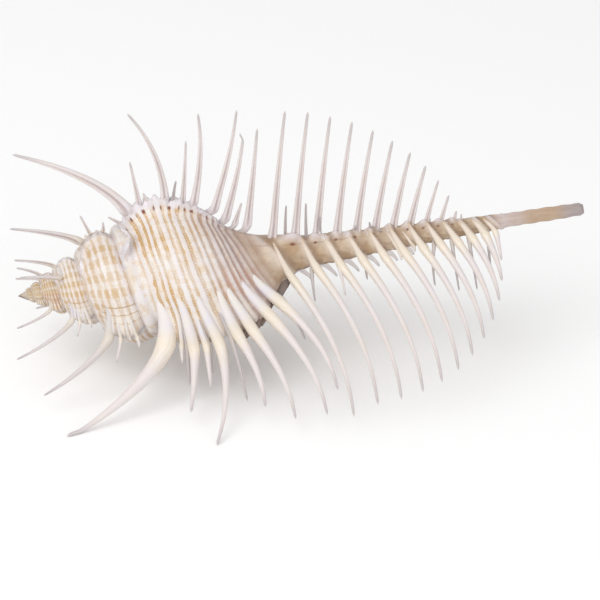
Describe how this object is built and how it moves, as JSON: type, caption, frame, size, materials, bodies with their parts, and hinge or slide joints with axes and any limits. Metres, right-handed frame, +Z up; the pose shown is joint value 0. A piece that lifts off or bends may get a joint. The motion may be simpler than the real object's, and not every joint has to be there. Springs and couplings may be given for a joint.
{
  "type": "murex shell",
  "caption": "Sea shell with a short spire, a rounded body whorl, a long straight canal and three rows of long curved spines, lying on its spine tips.",
  "frame": {"origin": "middle of the shell's box on the surface that it lies on", "axes": "+X towards the end of the canal, -X towards the spire, +Z up, -Y towards the side with the lip"},
  "size_m": [0.1321, 0.0715, 0.0631],
  "materials": {
    "shell": "satin"
  },
  "bodies": {
    "root": {"murex_shell": "shell"}
  },
  "joints": []
}
